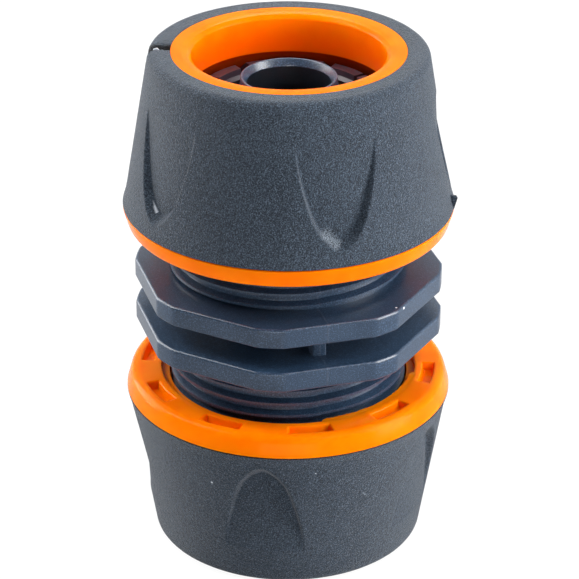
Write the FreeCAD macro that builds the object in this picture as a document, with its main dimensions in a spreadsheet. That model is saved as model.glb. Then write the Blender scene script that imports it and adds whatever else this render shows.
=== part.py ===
import FreeCAD, Part
import Sketcher
import math
import os
import re

# A hose mender: a threaded centre body with a barbed tail at each end, and at each end a claw ring
# and a two-colour nut that screws down over it to grip the hose.
# Millimetres. +Z runs along the hose and the origin is the centre of the body. The body's mould parts
# on the plane X = 0. Places round the axis are given from -Y towards +X. Both threads are right-handed.

SIZES = [
    # The hose that the mender takes
    ("hose_bore_dia", 12.7, "inside of the hose"),
    ("hose_outer_dia", 19.0, "outside of the hose"),
    # Centre body: hose tails
    ("tip_ease", 0.35, "tail's tip under the hose's bore, on the radius"),
    ("barb_bite", 0.35, "barb crests over the hose's bore, on the radius"),
    ("barb_rise", 0.55, "ramp of each barb, on the radius"),
    ("barb_length", 5.2, "ramp of each barb"),
    ("barb_back", 0.3, "length of each barb's steep back"),
    ("land_rise", 0.05, "plain land over the barb crests, on the radius"),
    ("land_length", 9.2, "plain land between the flange and the barbs"),
    ("tail_wall", 0.65, "wall at the tail's tip"),
    ("waterway_flare", 0.45, "how far the bore opens out at each tip, on the radius"),
    ("waterway_flare_depth", 1.0, "length of that opening"),
    # Centre body: flanges, neck and ribs
    ("flange_gap", 3.32, "between the two wrench flanges"),
    ("flange_thick", 2.68, "thickness of each flange"),
    ("flange_sides", 8, "flats on each flange"),
    ("flange_reach", 3.55, "flats beyond the thread's crest"),
    ("flange_corner_rise", 0.9, "blunted corners beyond the flats"),
    ("neck_wall", 4.15, "wall of the neck round the waterway"),
    ("rib_count", 2, "ribs in the gap, the first at -Y"),
    ("rib_thick", 1.8, "thickness of a rib"),
    ("rib_reach", 5.8, "rib beyond the neck"),
    # Centre body: threaded collars
    ("collar_height", 12.0, "collar above its flange"),
    ("collar_wall", 1.6, "wall under the thread"),
    ("thread_depth", 1.0, "ridge height over the collar"),
    ("thread_pitch", 1.69, "single start"),
    ("thread_root_width", 1.0, "ridge width at its root"),
    ("thread_crest_width", 0.34, "ridge width at its crest"),
    ("thread_sunk", 0.2, "how far a ridge is rooted in its wall"),
    ("thread_lead", 0.8, "bare collar past the last ridge"),
    ("upper_thread_start", -0.28, "ridge over the upper flange, at +X"),
    ("lower_thread_start", 0.16, "ridge over the lower flange, at +X"),
    # Nuts
    ("nut_backed_off", 5.96, "open face above its flange as shown"),
    ("nut_wall", 3.05, "hard wall round the groove, at the foot of the cone"),
    ("nut_cone_length", 5.34, "inner cone that presses the claws in"),
    ("nut_ring_rise", 0.6, "widest edge, beyond the grip's cone"),
    ("nut_ring_height", 2.63, "open face to the edge of the grip sleeve"),
    ("nut_foot_inset", 0.75, "open face's outer edge, inside the widest edge"),
    ("nut_foot_round", 1.0, "rounded edge of the open face"),
    ("nut_entry_room", 0.99, "plain entry beyond the groove, on the radius"),
    ("nut_entry_depth", 0.8, "depth of that entry"),
    ("nut_thread_turns", 4.0, "turns of thread in the nut"),
    ("nut_lip_reach", 2.06, "mouth's bore beyond the claws' bore, on the radius"),
    ("nut_lip_depth", 5.0, "straight part of the mouth"),
    ("nut_mouth_ring", 2.59, "width of the coloured ring round the mouth"),
    ("nut_mouth_dish", 0.14, "the mouth's inner edge lies this much lower"),
    ("nut_mouth_skirt", 2.2, "straight outside below the mouth"),
    ("pocket_count", 10, "pockets in the open face"),
    ("pocket_inset", 1.04, "from the entry to the pockets"),
    ("pocket_radial", 1.52, "pocket size along the radius"),
    ("pocket_angle", 17.0, "pocket size round the nut, degrees"),
    ("pocket_floor", 0.43, "left between a pocket and the sleeve's edge"),
    # Claw rings
    ("claw_count", 6, "claws, each with a narrow slot up its middle"),
    ("claw_wall", 2.3, "wall of the ring that slides in the collar"),
    ("claw_tip_face", 1.4, "width of the claws' end faces"),
    ("claw_shoulder", 1.0, "shoulder that lands on the collar's end"),
    ("claw_below_lip", 0.8, "claw tips below the straight part of the mouth"),
    ("claw_tooth_rows", 3, "rows of grip teeth inside the claws"),
    ("claw_tooth_height", 0.45, "height of a tooth"),
    ("claw_tooth_pitch", 1.7, "spacing of the teeth"),
    ("claw_tip_inset", 0.8, "first tooth below the tips"),
    ("claw_slot_width", 1.6, "wide slots between the claws"),
    ("claw_notch_width", 0.6, "narrow slots"),
    ("claw_notch_length", 7.0, "length of the narrow slots"),
    ("claw_base_height", 3.4, "unslotted ring at the foot of the claws"),
    # Grip sleeves
    ("grip_wall", 1.9, "soft wall over the nut"),
    ("grip_flare_height", 2.4, "flare between the cone and the ring"),
    ("grip_mouth_width", 2.75, "cone carried up to the mouth, beyond the coloured ring"),
    ("grip_rim_round", 1.4, "rounded rim at the small end"),
    ("scoop_count", 5, "finger recesses round the sleeve"),
    ("scoop_depth", 0.8, "finger recess at its deep end"),
    ("scoop_end_depth", 0.06, "step left where the recess runs out"),
    ("scoop_start", -0.5, "deep end of the recess, up the cone from its foot"),
    ("scoop_length", 13.1, "recess up the cone, from its deep end to where it runs out"),
    ("scoop_half_width", 5.4, "half the recess at its open end"),
    ("scoop_apex_radius", 2.25, "curve of the recess's deep end"),
    ("scoop_draft", 48.0, "slope of the recess's wall, degrees"),
    # Fits
    ("hose_room", 0.5, "claws to the hose, on the radius"),
    ("thread_clearance", 0.25, "ridge to groove, on the radius"),
    ("slide_clearance", 0.3, "claw ring in the collar, on the radius"),
    ("stop_clearance", 0.3, "left below the claw ring when the nut is home"),
    ("cone_clearance", 0.3, "claws to the nut's cone"),
    # Turned places, degrees
    ("upper_nut_turn", 2.3, "a recess of the upper nut"),
    ("lower_nut_turn", -25.2, "a recess of the lower nut"),
    ("claw_turn", 17.0, "a wide slot of each claw ring"),
]
# Sizes that follow from the driving ones
DERIVED = [
    # Radii, from the hose outwards
    ("tip_radius", "hose_bore_dia / 2 - tip_ease"),
    ("barb_radius", "hose_bore_dia / 2 + barb_bite"),
    ("barb_root_radius", "barb_radius - barb_rise"),
    ("land_radius", "barb_radius + land_rise"),
    ("waterway_radius", "tip_radius - tail_wall"),
    ("waterway_mouth_radius", "waterway_radius + waterway_flare"),
    ("neck_radius", "waterway_radius + neck_wall"),
    ("rib_radius", "neck_radius + rib_reach"),
    ("claw_bore_radius", "hose_outer_dia / 2 + hose_room"),
    ("claw_radius", "claw_bore_radius + claw_wall"),
    ("claw_tip_radius", "claw_bore_radius + claw_tip_face"),
    ("claw_shoulder_radius", "claw_radius + claw_shoulder"),
    ("collar_bore_radius", "claw_radius + slide_clearance"),
    ("core_radius", "collar_bore_radius + collar_wall"),
    ("crest_radius", "core_radius + thread_depth"),
    ("flat_distance", "crest_radius + flange_reach"),
    ("corner_radius", "flat_distance + flange_corner_rise"),
    ("groove_radius", "crest_radius + thread_clearance"),
    ("entry_radius", "groove_radius + nut_entry_room"),
    ("cone_foot_radius", "groove_radius + nut_wall"),
    ("grip_foot_radius", "cone_foot_radius + grip_wall"),
    ("ring_radius", "grip_foot_radius + nut_ring_rise"),
    ("foot_radius", "ring_radius - nut_foot_inset"),
    ("lip_radius", "claw_bore_radius + nut_lip_reach"),
    ("mouth_radius", "lip_radius + nut_mouth_ring"),
    ("grip_top_radius", "mouth_radius + grip_mouth_width"),
    ("pocket_low", "entry_radius + pocket_inset"),
    ("pocket_high", "pocket_low + pocket_radial"),
    # Heights from the middle of the body
    ("flange_low", "flange_gap / 2"),
    ("flange_face", "flange_low + flange_thick"),
    ("collar_end", "flange_face + collar_height"),
    ("tail_tip", "flange_face + land_length + 3 * barb_length + 2 * barb_back"),
    ("nut_face", "flange_face + nut_backed_off"),
    ("claw_foot", "nut_face + stop_clearance"),
    ("shoulder_low", "collar_end + nut_backed_off + stop_clearance"),
    # Heights from a nut's open face
    ("groove_end", "collar_height + 2 * stop_clearance"),
    ("lip_start", "groove_end + nut_cone_length"),
    ("nut_length", "lip_start + nut_lip_depth"),
    ("skirt_low", "nut_length - nut_mouth_skirt"),
    ("pocket_depth", "nut_ring_height - pocket_floor"),
    ("grip_foot", "nut_ring_height + grip_flare_height"),
    # The claws under the nut's cone
    ("cone_spread", "(groove_radius - lip_radius) / nut_cone_length"),
    ("claw_tip", "nut_face + lip_start - claw_below_lip"),
    ("shoulder_room", "claw_shoulder_radius + cone_clearance - lip_radius"),
    ("shoulder_high", "nut_face + lip_start - shoulder_room / cone_spread"),
    # The sleeve's cone and its recesses
    ("grip_spread", "(grip_foot_radius - grip_top_radius) / (nut_length - grip_foot)"),
    ("skirt_radius", "grip_top_radius + grip_spread * nut_mouth_skirt - grip_wall"),
    ("scoop_low", "grip_foot + scoop_start * cos(atan(grip_spread))"),
    ("scoop_high", "grip_foot + (scoop_start + scoop_length) * cos(atan(grip_spread))"),
    ("scoop_low_radius", "grip_foot_radius - grip_spread * (scoop_low - grip_foot)"),
    ("scoop_high_radius", "grip_foot_radius - grip_spread * (scoop_high - grip_foot)"),
    ("scoop_cut", "(3 * scoop_depth + grip_wall) / 4"),
    ("scoop_bed", "(scoop_depth + 3 * grip_wall) / 4"),
    (
        "scoop_side_radius",
        "(scoop_length ^ 2 + scoop_half_width ^ 2 - 2 * scoop_apex_radius * scoop_length)"
        " / (2 * (scoop_half_width - scoop_apex_radius))",
    ),
    ("scoop_side_offset", "scoop_side_radius - scoop_half_width"),
]

UPSIDE_DOWN = FreeCAD.Placement(FreeCAD.Vector(), FreeCAD.Rotation(FreeCAD.Vector(1, 0, 0), 180))
# Where the corners of an outline start out, before their formulas move them
ROUGH_REACH, ROUGH_RADIUS, ROUGH_OFFSET = 20, 9, 0.3
# How closely an edge has to match the radius and height it is looked for by
EDGE_MATCH = 1e-4

doc = FreeCAD.newDocument("hose_mender")
sheet = doc.addObject("Spreadsheet::Sheet", "sizes")


def fill_sheet():
    """Each driving size with its meaning, then the sizes worked out from them."""
    rows = [(name, str(value), meaning) for name, value, meaning in SIZES]
    rows += [(name, "=" + formula, "") for name, formula in DERIVED]
    for number, (name, content, meaning) in enumerate(rows, start=1):
        sheet.set(f"A{number}", name)
        sheet.set(f"B{number}", content)
        sheet.setAlias(f"B{number}", name)
        sheet.set(f"C{number}", meaning)
    doc.recompute()


fill_sheet()
ALIASES = {name for name, *_ in SIZES} | {name for name, _ in DERIVED}


def size(name):
    """The value of a size in the sheet."""
    return float(sheet.get(name))


def bound(formula):
    """The formula with each size's name pointed at the sheet."""
    return re.sub(r"[a-z_]+", lambda word: "sizes." + word[0] if word[0] in ALIASES else word[0], formula)


def new_body(label):
    body = doc.addObject("PartDesign::Body", label)
    body.Label = label
    return body


def origin_item(body, role):
    return next(item for item in body.Origin.OriginFeatures if item.Role == role)


def new_sketch(body, label, plane="XZ_Plane"):
    sketch = body.newObject("Sketcher::SketchObject", label)
    sketch.AttachmentSupport = [(origin_item(body, plane), "")]
    sketch.MapMode = "FlatFace"
    return sketch


def turn_sketch(sketch, axis, formula):
    """Turn a sketch in its own frame about one of its axes, by an angle in degrees."""
    sketch.AttachmentOffset = FreeCAD.Placement(FreeCAD.Vector(), FreeCAD.Rotation(axis, 1))
    sketch.setExpression("AttachmentOffset.Rotation.Angle", bound(formula))


def pin_point(sketch, line, end, across, along):
    """Tie one end of a line to its two coordinates, each a formula."""
    spot = sketch.getPoint(line, end)
    for kind, formula, value in (("DistanceX", across, spot.x), ("DistanceY", along, spot.y)):
        if formula == "0":
            axis = -2 if kind == "DistanceX" else -1
            sketch.addConstraint(Sketcher.Constraint("PointOnObject", line, end, axis))
            continue
        index = sketch.addConstraint(Sketcher.Constraint(kind, -1, 1, line, end, value))
        sketch.setExpression(f"Constraints[{index}]", bound(formula))


def outline(sketch, corners):
    """A closed outline of straight lines. Each corner is a pair of formulas."""
    count = len(corners)
    spots = []
    for number in range(count):
        angle = 2 * math.pi * (number + ROUGH_OFFSET) / count
        across = ROUGH_REACH + ROUGH_RADIUS * math.cos(angle)
        spots.append(FreeCAD.Vector(across, ROUGH_RADIUS * math.sin(angle), 0))
    first = sketch.GeometryCount
    for number in range(count):
        sketch.addGeometry(Part.LineSegment(spots[number], spots[(number + 1) % count]))
    for number in range(count):
        following = first + (number + 1) % count
        sketch.addConstraint(Sketcher.Constraint("Coincident", first + number, 2, following, 1))
    for number, (across, along) in enumerate(corners):
        pin_point(sketch, first + number, 1, across, along)
    doc.recompute()


def revolve(body, label, sketch):
    """Add a sketch turned right round the axis."""
    turned = body.newObject("PartDesign::Revolution", label)
    turned.Profile = sketch
    turned.ReferenceAxis = (sketch, ["V_Axis"])
    turned.Angle = 360
    doc.recompute()
    return turned


def repeat_round(body, label, feature, count):
    """Repeat a feature evenly round the axis, as often as the named size says."""
    ring = body.newObject("PartDesign::PolarPattern", label)
    ring.Originals = [feature]
    ring.Axis = (origin_item(body, "Z_Axis"), [""])
    ring.Angle = 360
    ring.setExpression("Occurrences", bound(count))
    body.Tip = ring
    doc.recompute()
    return ring


def add_thread(body, label, corners, rise, downwards=False):
    """A right-handed ridge of the given section, which starts at +X and winds along the axis."""
    section = new_sketch(body, label + "_section")
    outline(section, corners)
    ridge = body.newObject("PartDesign::AdditiveHelix", label)
    ridge.Profile = section
    ridge.ReferenceAxis = (section, ["V_Axis"])
    ridge.Mode = 0
    ridge.LeftHanded = False
    ridge.Reversed = downwards
    ridge.setExpression("Pitch", bound("thread_pitch"))
    ridge.setExpression("Height", bound(rise))
    doc.recompute()
    return ridge


def round_edge(body, label, base, radius_formula, edge_radius, edge_height):
    """Round the circular edges of a given radius and height."""
    names = []
    for number, edge in enumerate(base.Shape.Edges, start=1):
        curve = edge.Curve
        if not isinstance(curve, Part.Circle):
            continue
        same_radius = abs(curve.Radius - edge_radius) < EDGE_MATCH
        if same_radius and abs(curve.Center.z - edge_height) < EDGE_MATCH:
            names.append(f"Edge{number}")
    rounded = body.newObject("PartDesign::Fillet", label)
    rounded.Base = (base, names)
    rounded.setExpression("Radius", bound(radius_formula))
    body.Tip = rounded
    doc.recompute()
    return rounded


def ridge_corners(root, crest, height):
    """Section of a thread ridge, from its root radius to its crest radius, centred at a height."""
    half_root, half_crest = "thread_root_width / 2", "thread_crest_width / 2"
    return [
        (root, f"{height} - {half_root}"),
        (crest, f"{height} - {half_crest}"),
        (crest, f"{height} + {half_crest}"),
        (root, f"{height} + {half_root}"),
    ]


def make_centre_body():
    """One moulding: two wrench flanges on a ribbed neck, two threaded collars and two barbed tails."""
    body = new_body("centre_body")
    half = new_sketch(body, "half_section")
    outline(half, [
        ("waterway_radius", "0"),
        ("neck_radius", "0"),
        ("neck_radius", "flange_low"),
        ("corner_radius", "flange_low"),
        ("corner_radius", "flange_face"),
        ("core_radius", "flange_face"),
        ("core_radius", "collar_end"),
        ("collar_bore_radius", "collar_end"),
        ("collar_bore_radius", "flange_face"),
        ("land_radius", "flange_face"),
        ("land_radius", "flange_face + land_length"),
        ("barb_root_radius", "tail_tip - 2 * barb_length - 2 * barb_back"),
        ("barb_radius", "tail_tip - 2 * barb_length - barb_back"),
        ("barb_root_radius", "tail_tip - barb_length - barb_back"),
        ("barb_radius", "tail_tip - barb_length"),
        ("tip_radius", "tail_tip"),
        ("waterway_mouth_radius", "tail_tip"),
        ("waterway_radius", "tail_tip - waterway_flare_depth"),
    ])
    upper = revolve(body, "upper_half", half)
    both = body.newObject("PartDesign::Mirrored", "both_halves")
    both.Originals = [upper]
    both.MirrorPlane = (origin_item(body, "XY_Plane"), [""])
    body.Tip = both
    doc.recompute()

    side = new_sketch(body, "flat_outline", "XY_Plane")
    outline(side, [
        ("-corner_radius", "-flat_distance"),
        ("-corner_radius", "-2 * corner_radius"),
        ("corner_radius", "-2 * corner_radius"),
        ("corner_radius", "-flat_distance"),
    ])
    flat = body.newObject("PartDesign::Pocket", "wrench_flat")
    flat.Profile = side
    flat.Midplane = True
    flat.setExpression("Length", bound("2 * flange_face + flange_thick"))
    doc.recompute()
    repeat_round(body, "wrench_flats", flat, "flange_sides")

    web = new_sketch(body, "rib_outline", "XY_Plane")
    outline(web, [
        ("-rib_thick / 2", "-rib_radius"),
        ("rib_thick / 2", "-rib_radius"),
        ("rib_thick / 2", "-(neck_radius + waterway_radius) / 2"),
        ("-rib_thick / 2", "-(neck_radius + waterway_radius) / 2"),
    ])
    rib = body.newObject("PartDesign::Pad", "rib")
    rib.Profile = web
    rib.Midplane = True
    rib.setExpression("Length", bound("flange_gap + flange_thick"))
    doc.recompute()
    repeat_round(body, "ribs", rib, "rib_count")

    root, crest = "core_radius - thread_sunk", "crest_radius"
    climb = "collar_height - thread_lead"
    upper_start = "(flange_face + upper_thread_start)"
    add_thread(body, "upper_thread", ridge_corners(root, crest, upper_start), f"{climb} - upper_thread_start")
    lower_start = "-(flange_face + lower_thread_start)"
    add_thread(
        body, "lower_thread", ridge_corners(root, crest, lower_start), f"{climb} - lower_thread_start", True
    )
    return body


def make_claw_ring(label, upper):
    """A slotted ring round the tail: its claws grip the hose when the nut's cone presses them in."""
    body = new_body(label)
    wall = new_sketch(body, label + "_section")
    teeth = []
    for number in range(int(size("claw_tooth_rows"))):
        peak = f"claw_tip - claw_tip_inset - {number} * claw_tooth_pitch"
        teeth += [
            ("claw_bore_radius", peak),
            ("claw_bore_radius - claw_tooth_height", f"{peak} - claw_tooth_pitch / 4"),
            ("claw_bore_radius", f"{peak} - claw_tooth_pitch * 3 / 4"),
        ]
    outline(wall, [
        ("claw_radius", "claw_foot"),
        ("claw_radius", "shoulder_low"),
        ("claw_shoulder_radius", "shoulder_low"),
        ("claw_shoulder_radius", "shoulder_high"),
        ("claw_tip_radius", "claw_tip"),
        ("claw_bore_radius", "claw_tip"),
        *teeth,
        ("claw_bore_radius", "claw_foot"),
    ])
    revolve(body, label + "_wall", wall)
    cuts = [
        ("slot", "claw_slot_width", "claw_turn", "claw_tip - claw_foot - claw_base_height"),
        ("notch", "claw_notch_width", "claw_turn + 180 / claw_count", "claw_notch_length"),
    ]
    for name, width, turn, length in cuts:
        gap = new_sketch(body, f"{label}_{name}_outline", "XY_Plane")
        turn_sketch(gap, FreeCAD.Vector(0, 0, 1), turn)
        gap.setExpression("AttachmentOffset.Base.z", bound("claw_tip"))
        outline(gap, [
            (f"-{width} / 2", "-2 * claw_shoulder_radius"),
            (f"{width} / 2", "-2 * claw_shoulder_radius"),
            (f"{width} / 2", "-claw_bore_radius / 2"),
            (f"-{width} / 2", "-claw_bore_radius / 2"),
        ])
        cut = body.newObject("PartDesign::Pocket", f"{label}_{name}")
        cut.Profile = gap
        cut.setExpression("Length", bound(length))
        doc.recompute()
        repeat_round(body, label + f"_{name}s", cut, "claw_count")
    if not upper:
        body.Placement = UPSIDE_DOWN
    return body


def place_round(turn, upper, extra):
    """Angle from a nut's own +X of a place given from -Y towards +X, for a nut either way up."""
    return f"{turn} + {extra} - 90" if upper else f"90 - {turn} + {extra}"


def make_nut(label, upper, turn, thread_start):
    """The hard nut. It is drawn up from its open face and then put in place."""
    body = new_body(label)
    wall = new_sketch(body, label + "_section")
    outline(wall, [
        ("entry_radius", "0"),
        ("foot_radius", "0"),
        ("ring_radius", "nut_ring_height"),
        ("ring_radius - grip_wall", "nut_ring_height"),
        ("cone_foot_radius", "grip_foot"),
        ("skirt_radius", "skirt_low"),
        ("mouth_radius", "skirt_low"),
        ("mouth_radius", "nut_length"),
        ("lip_radius", "nut_length - nut_mouth_dish"),
        ("lip_radius", "lip_start"),
        ("groove_radius", "groove_end"),
        ("groove_radius", "nut_entry_depth"),
        ("entry_radius", "nut_entry_depth"),
    ])
    turned = revolve(body, label + "_wall", wall)
    round_edge(body, label + "_foot_round", turned, "nut_foot_round", size("foot_radius"), 0)

    hollow = new_sketch(body, label + "_pocket_section")
    turn_sketch(hollow, FreeCAD.Vector(0, 1, 0), place_round(turn, upper, "180 / pocket_count"))
    outline(hollow, [
        ("pocket_low", "-pocket_depth"),
        ("pocket_high", "-pocket_depth"),
        ("pocket_high", "pocket_depth"),
        ("pocket_low", "pocket_depth"),
    ])
    pocket = body.newObject("PartDesign::Groove", label + "_pocket")
    pocket.Profile = hollow
    pocket.ReferenceAxis = (hollow, ["V_Axis"])
    pocket.Midplane = True
    pocket.setExpression("Angle", bound("pocket_angle"))
    doc.recompute()
    repeat_round(body, label + "_pockets", pocket, "pocket_count")

    # The nut's ridge lies half a pitch from the body's, on the first turn inside the entry
    inside = f"(nut_backed_off + nut_entry_depth + thread_root_width / 2 - {thread_start}) / thread_pitch"
    first = f"({thread_start} + (ceil({inside} - 0.5) + 0.5) * thread_pitch - nut_backed_off)"
    root, crest = "groove_radius + thread_sunk", "groove_radius - thread_depth"
    add_thread(body, label + "_thread", ridge_corners(root, crest, first), "nut_thread_turns * thread_pitch")
    if upper:
        body.setExpression("Placement.Base.z", bound("nut_face"))
    else:
        body.Placement = UPSIDE_DOWN
        body.setExpression("Placement.Base.z", bound("-nut_face"))
    return body


def make_grip_sleeve(label, upper, turn):
    """The soft sleeve moulded over a nut, with its finger recesses. It is drawn as its nut is."""
    body = new_body(label)
    wall = new_sketch(body, label + "_section")
    outline(wall, [
        ("ring_radius - grip_wall", "nut_ring_height"),
        ("ring_radius", "nut_ring_height"),
        ("grip_foot_radius + nut_ring_rise / 4", "nut_ring_height + grip_flare_height / 2"),
        ("grip_foot_radius", "grip_foot"),
        ("grip_top_radius", "nut_length"),
        ("mouth_radius", "nut_length"),
        ("mouth_radius", "skirt_low"),
        ("skirt_radius", "skirt_low"),
        ("cone_foot_radius", "grip_foot"),
    ])
    turned = revolve(body, label + "_wall", wall)
    round_edge(body, label + "_rim", turned, "grip_rim_round", size("grip_top_radius"), size("nut_length"))

    # The recess is cut square to the cone, and its floor is then laid back as part of a slimmer cone
    leaf = new_sketch(body, label + "_scoop_outline")
    scoop_outline(leaf)
    turn_sketch(leaf, FreeCAD.Vector(1, 0, 0), "-atan(grip_spread)")
    leaf.setExpression("AttachmentOffset.Base.y", bound("grip_foot"))
    leaf.setExpression("AttachmentOffset.Base.z", bound("grip_foot_radius"))
    scoop = body.newObject("PartDesign::Pocket", label + "_scoop")
    scoop.Profile = leaf
    scoop.setExpression("Length", bound("scoop_cut"))
    scoop.setExpression("TaperAngle", bound("-scoop_draft"))
    doc.recompute()
    repeat_round(body, label + "_scoops", scoop, "scoop_count")
    bed = new_sketch(body, label + "_scoop_bed_section")
    outline(bed, [
        ("scoop_low_radius - scoop_bed", "scoop_low"),
        ("scoop_low_radius - scoop_depth", "scoop_low"),
        ("scoop_high_radius - scoop_end_depth", "scoop_high"),
        ("scoop_high_radius - scoop_bed", "scoop_high"),
    ])
    revolve(body, label + "_scoop_bed", bed)
    if upper:
        body.setExpression("Placement.Rotation.Angle", bound(turn))
        body.setExpression("Placement.Base.z", bound("nut_face"))
    else:
        # Turned over about the level line that brings the recess round to its place
        body.Placement = UPSIDE_DOWN
        body.setExpression("Placement.Rotation.Axis.x", bound(f"sin({turn} / 2)"))
        body.setExpression("Placement.Rotation.Axis.y", bound(f"-cos({turn} / 2)"))
        body.setExpression("Placement.Base.z", bound("-nut_face"))
    return body


def scoop_outline(sketch):
    """A leaf shape: a straight open end, two long curved sides and a round apex at the cone's foot."""
    apex, side, offset = size("scoop_apex_radius"), size("scoop_side_radius"), size("scoop_side_offset")
    half, low = size("scoop_half_width"), size("scoop_start")
    high = low + size("scoop_length")
    lean = math.atan2(high - low - apex, offset)
    up = FreeCAD.Vector(0, 0, 1)
    left, right = FreeCAD.Vector(offset, high, 0), FreeCAD.Vector(-offset, high, 0)
    sketch.addGeometry(Part.LineSegment(FreeCAD.Vector(-half, high, 0), FreeCAD.Vector(half, high, 0)))
    sketch.addGeometry(Part.ArcOfCircle(Part.Circle(right, up, side), -lean, 0))
    sketch.addGeometry(Part.ArcOfCircle(Part.Circle(left, up, side), math.pi, math.pi + lean))
    middle = FreeCAD.Vector(0, low + apex, 0)
    sketch.addGeometry(Part.ArcOfCircle(Part.Circle(middle, up, apex), math.pi + lean, 2 * math.pi - lean))
    pin_point(sketch, 0, 1, "-scoop_half_width", "scoop_start + scoop_length")
    pin_point(sketch, 0, 2, "scoop_half_width", "scoop_start + scoop_length")
    sketch.addConstraint(Sketcher.Constraint("Coincident", 1, 2, 0, 2))
    sketch.addConstraint(Sketcher.Constraint("Coincident", 2, 1, 0, 1))
    for arc in (1, 2):
        sketch.addConstraint(Sketcher.Constraint("Horizontal", arc, 3, 0, 1))
    for arc, name in ((1, "scoop_side_radius"), (2, "scoop_side_radius"), (3, "scoop_apex_radius")):
        index = sketch.addConstraint(Sketcher.Constraint("Radius", arc, size(name)))
        sketch.setExpression(f"Constraints[{index}]", bound(name))
    sketch.addConstraint(Sketcher.Constraint("Tangent", 2, 2, 3, 1))
    sketch.addConstraint(Sketcher.Constraint("Tangent", 1, 1, 3, 2))
    doc.recompute()


def check_document():
    """Stop with a message where a feature failed or a piece isn't one valid solid."""
    for item in doc.Objects:
        for word in ("Invalid", "Error"):
            if word in item.State:
                raise RuntimeError(f"{item.Label} failed to build")
    for body in pieces:
        shape = body.Shape
        if shape.isNull() or not shape.isValid() or len(shape.Solids) != 1:
            raise RuntimeError(f"{body.Label} isn't one valid solid")


pieces = [
    make_centre_body(),
    make_claw_ring("upper_claw_ring", True),
    make_claw_ring("lower_claw_ring", False),
    make_nut("upper_nut", True, "upper_nut_turn", "upper_thread_start"),
    make_nut("lower_nut", False, "lower_nut_turn", "lower_thread_start"),
    make_grip_sleeve("upper_grip_sleeve", True, "upper_nut_turn"),
    make_grip_sleeve("lower_grip_sleeve", False, "lower_nut_turn"),
]
doc.recompute()
check_document()
os.makedirs("parts", exist_ok=True)
for piece in pieces:
    piece.Shape.exportStep(f"parts/{piece.Label}.step")
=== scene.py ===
import math

import bmesh
import bpy
import numpy as np
from mathutils import Matrix, Vector


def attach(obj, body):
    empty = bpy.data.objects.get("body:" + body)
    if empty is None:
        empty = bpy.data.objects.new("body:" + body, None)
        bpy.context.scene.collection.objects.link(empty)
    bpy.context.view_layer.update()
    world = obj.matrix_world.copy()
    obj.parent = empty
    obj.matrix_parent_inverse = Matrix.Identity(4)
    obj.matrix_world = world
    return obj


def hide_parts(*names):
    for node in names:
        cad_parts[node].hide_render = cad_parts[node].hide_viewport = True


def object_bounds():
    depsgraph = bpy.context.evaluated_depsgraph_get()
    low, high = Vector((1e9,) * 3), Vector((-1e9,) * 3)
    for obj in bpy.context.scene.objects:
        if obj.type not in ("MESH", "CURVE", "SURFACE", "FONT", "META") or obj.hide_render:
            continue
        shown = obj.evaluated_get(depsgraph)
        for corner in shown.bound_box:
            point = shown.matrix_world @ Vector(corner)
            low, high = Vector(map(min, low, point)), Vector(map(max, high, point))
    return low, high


# A hose mender standing on its lower nut. Shapes are worked out in millimetres and made in metres.
# Places round the axis are degrees from -Y towards +X, heights along a nut are from its open face.

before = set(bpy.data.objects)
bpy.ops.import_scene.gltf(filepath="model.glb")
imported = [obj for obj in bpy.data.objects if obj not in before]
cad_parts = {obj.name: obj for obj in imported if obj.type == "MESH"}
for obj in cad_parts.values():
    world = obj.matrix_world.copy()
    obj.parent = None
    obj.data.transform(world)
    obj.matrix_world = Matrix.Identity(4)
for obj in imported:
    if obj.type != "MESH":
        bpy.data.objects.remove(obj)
cad_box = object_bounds()

MM = 0.001
WELD = 1e-6

# Centre body
GAP_HALF = 1.66
FLANGE_FACE = 4.34
FLATS_HALF = 18.75
CORNER_RADIUS = 19.65
FLANGE_ROUND = 0.34
NECK_RADIUS = 9.5
COLLAR_END = 16.34
CORE_RADIUS = 14.2
SEAT_RADIUS = 13.4
PITCH = 1.69
COLLAR_BORE = 12.6
TAIL_RADIUS = 6.75
BARB_RADIUS = 6.7
BARB_ROOT = 6.15
TAIL_TIP = 29.74
SEAM_SHIFT = -0.3
# Nuts, from the open face
NUT_FACE = 10.30
NUT_LENGTH = 22.94
RING_HEIGHT = 2.63
RING_RADIUS = 21.0
CONE_FOOT = 5.03
CONE_RADIUS = 20.4
CONE_TOP_RADIUS = 17.4
MOUTH_RADIUS = 14.65
MOUTH_SHOULDER = 20.74
NUT_THREAD_RADIUS = 15.45
LIP_RADIUS = 12.06
ENTRY_RADIUS = 16.44
UPPER_TURN = 2.3
LOWER_TURN = -25.2
# The photograph's side, in degrees from -Y
VIEW_SWING = -16.0


# Node trees

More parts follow.
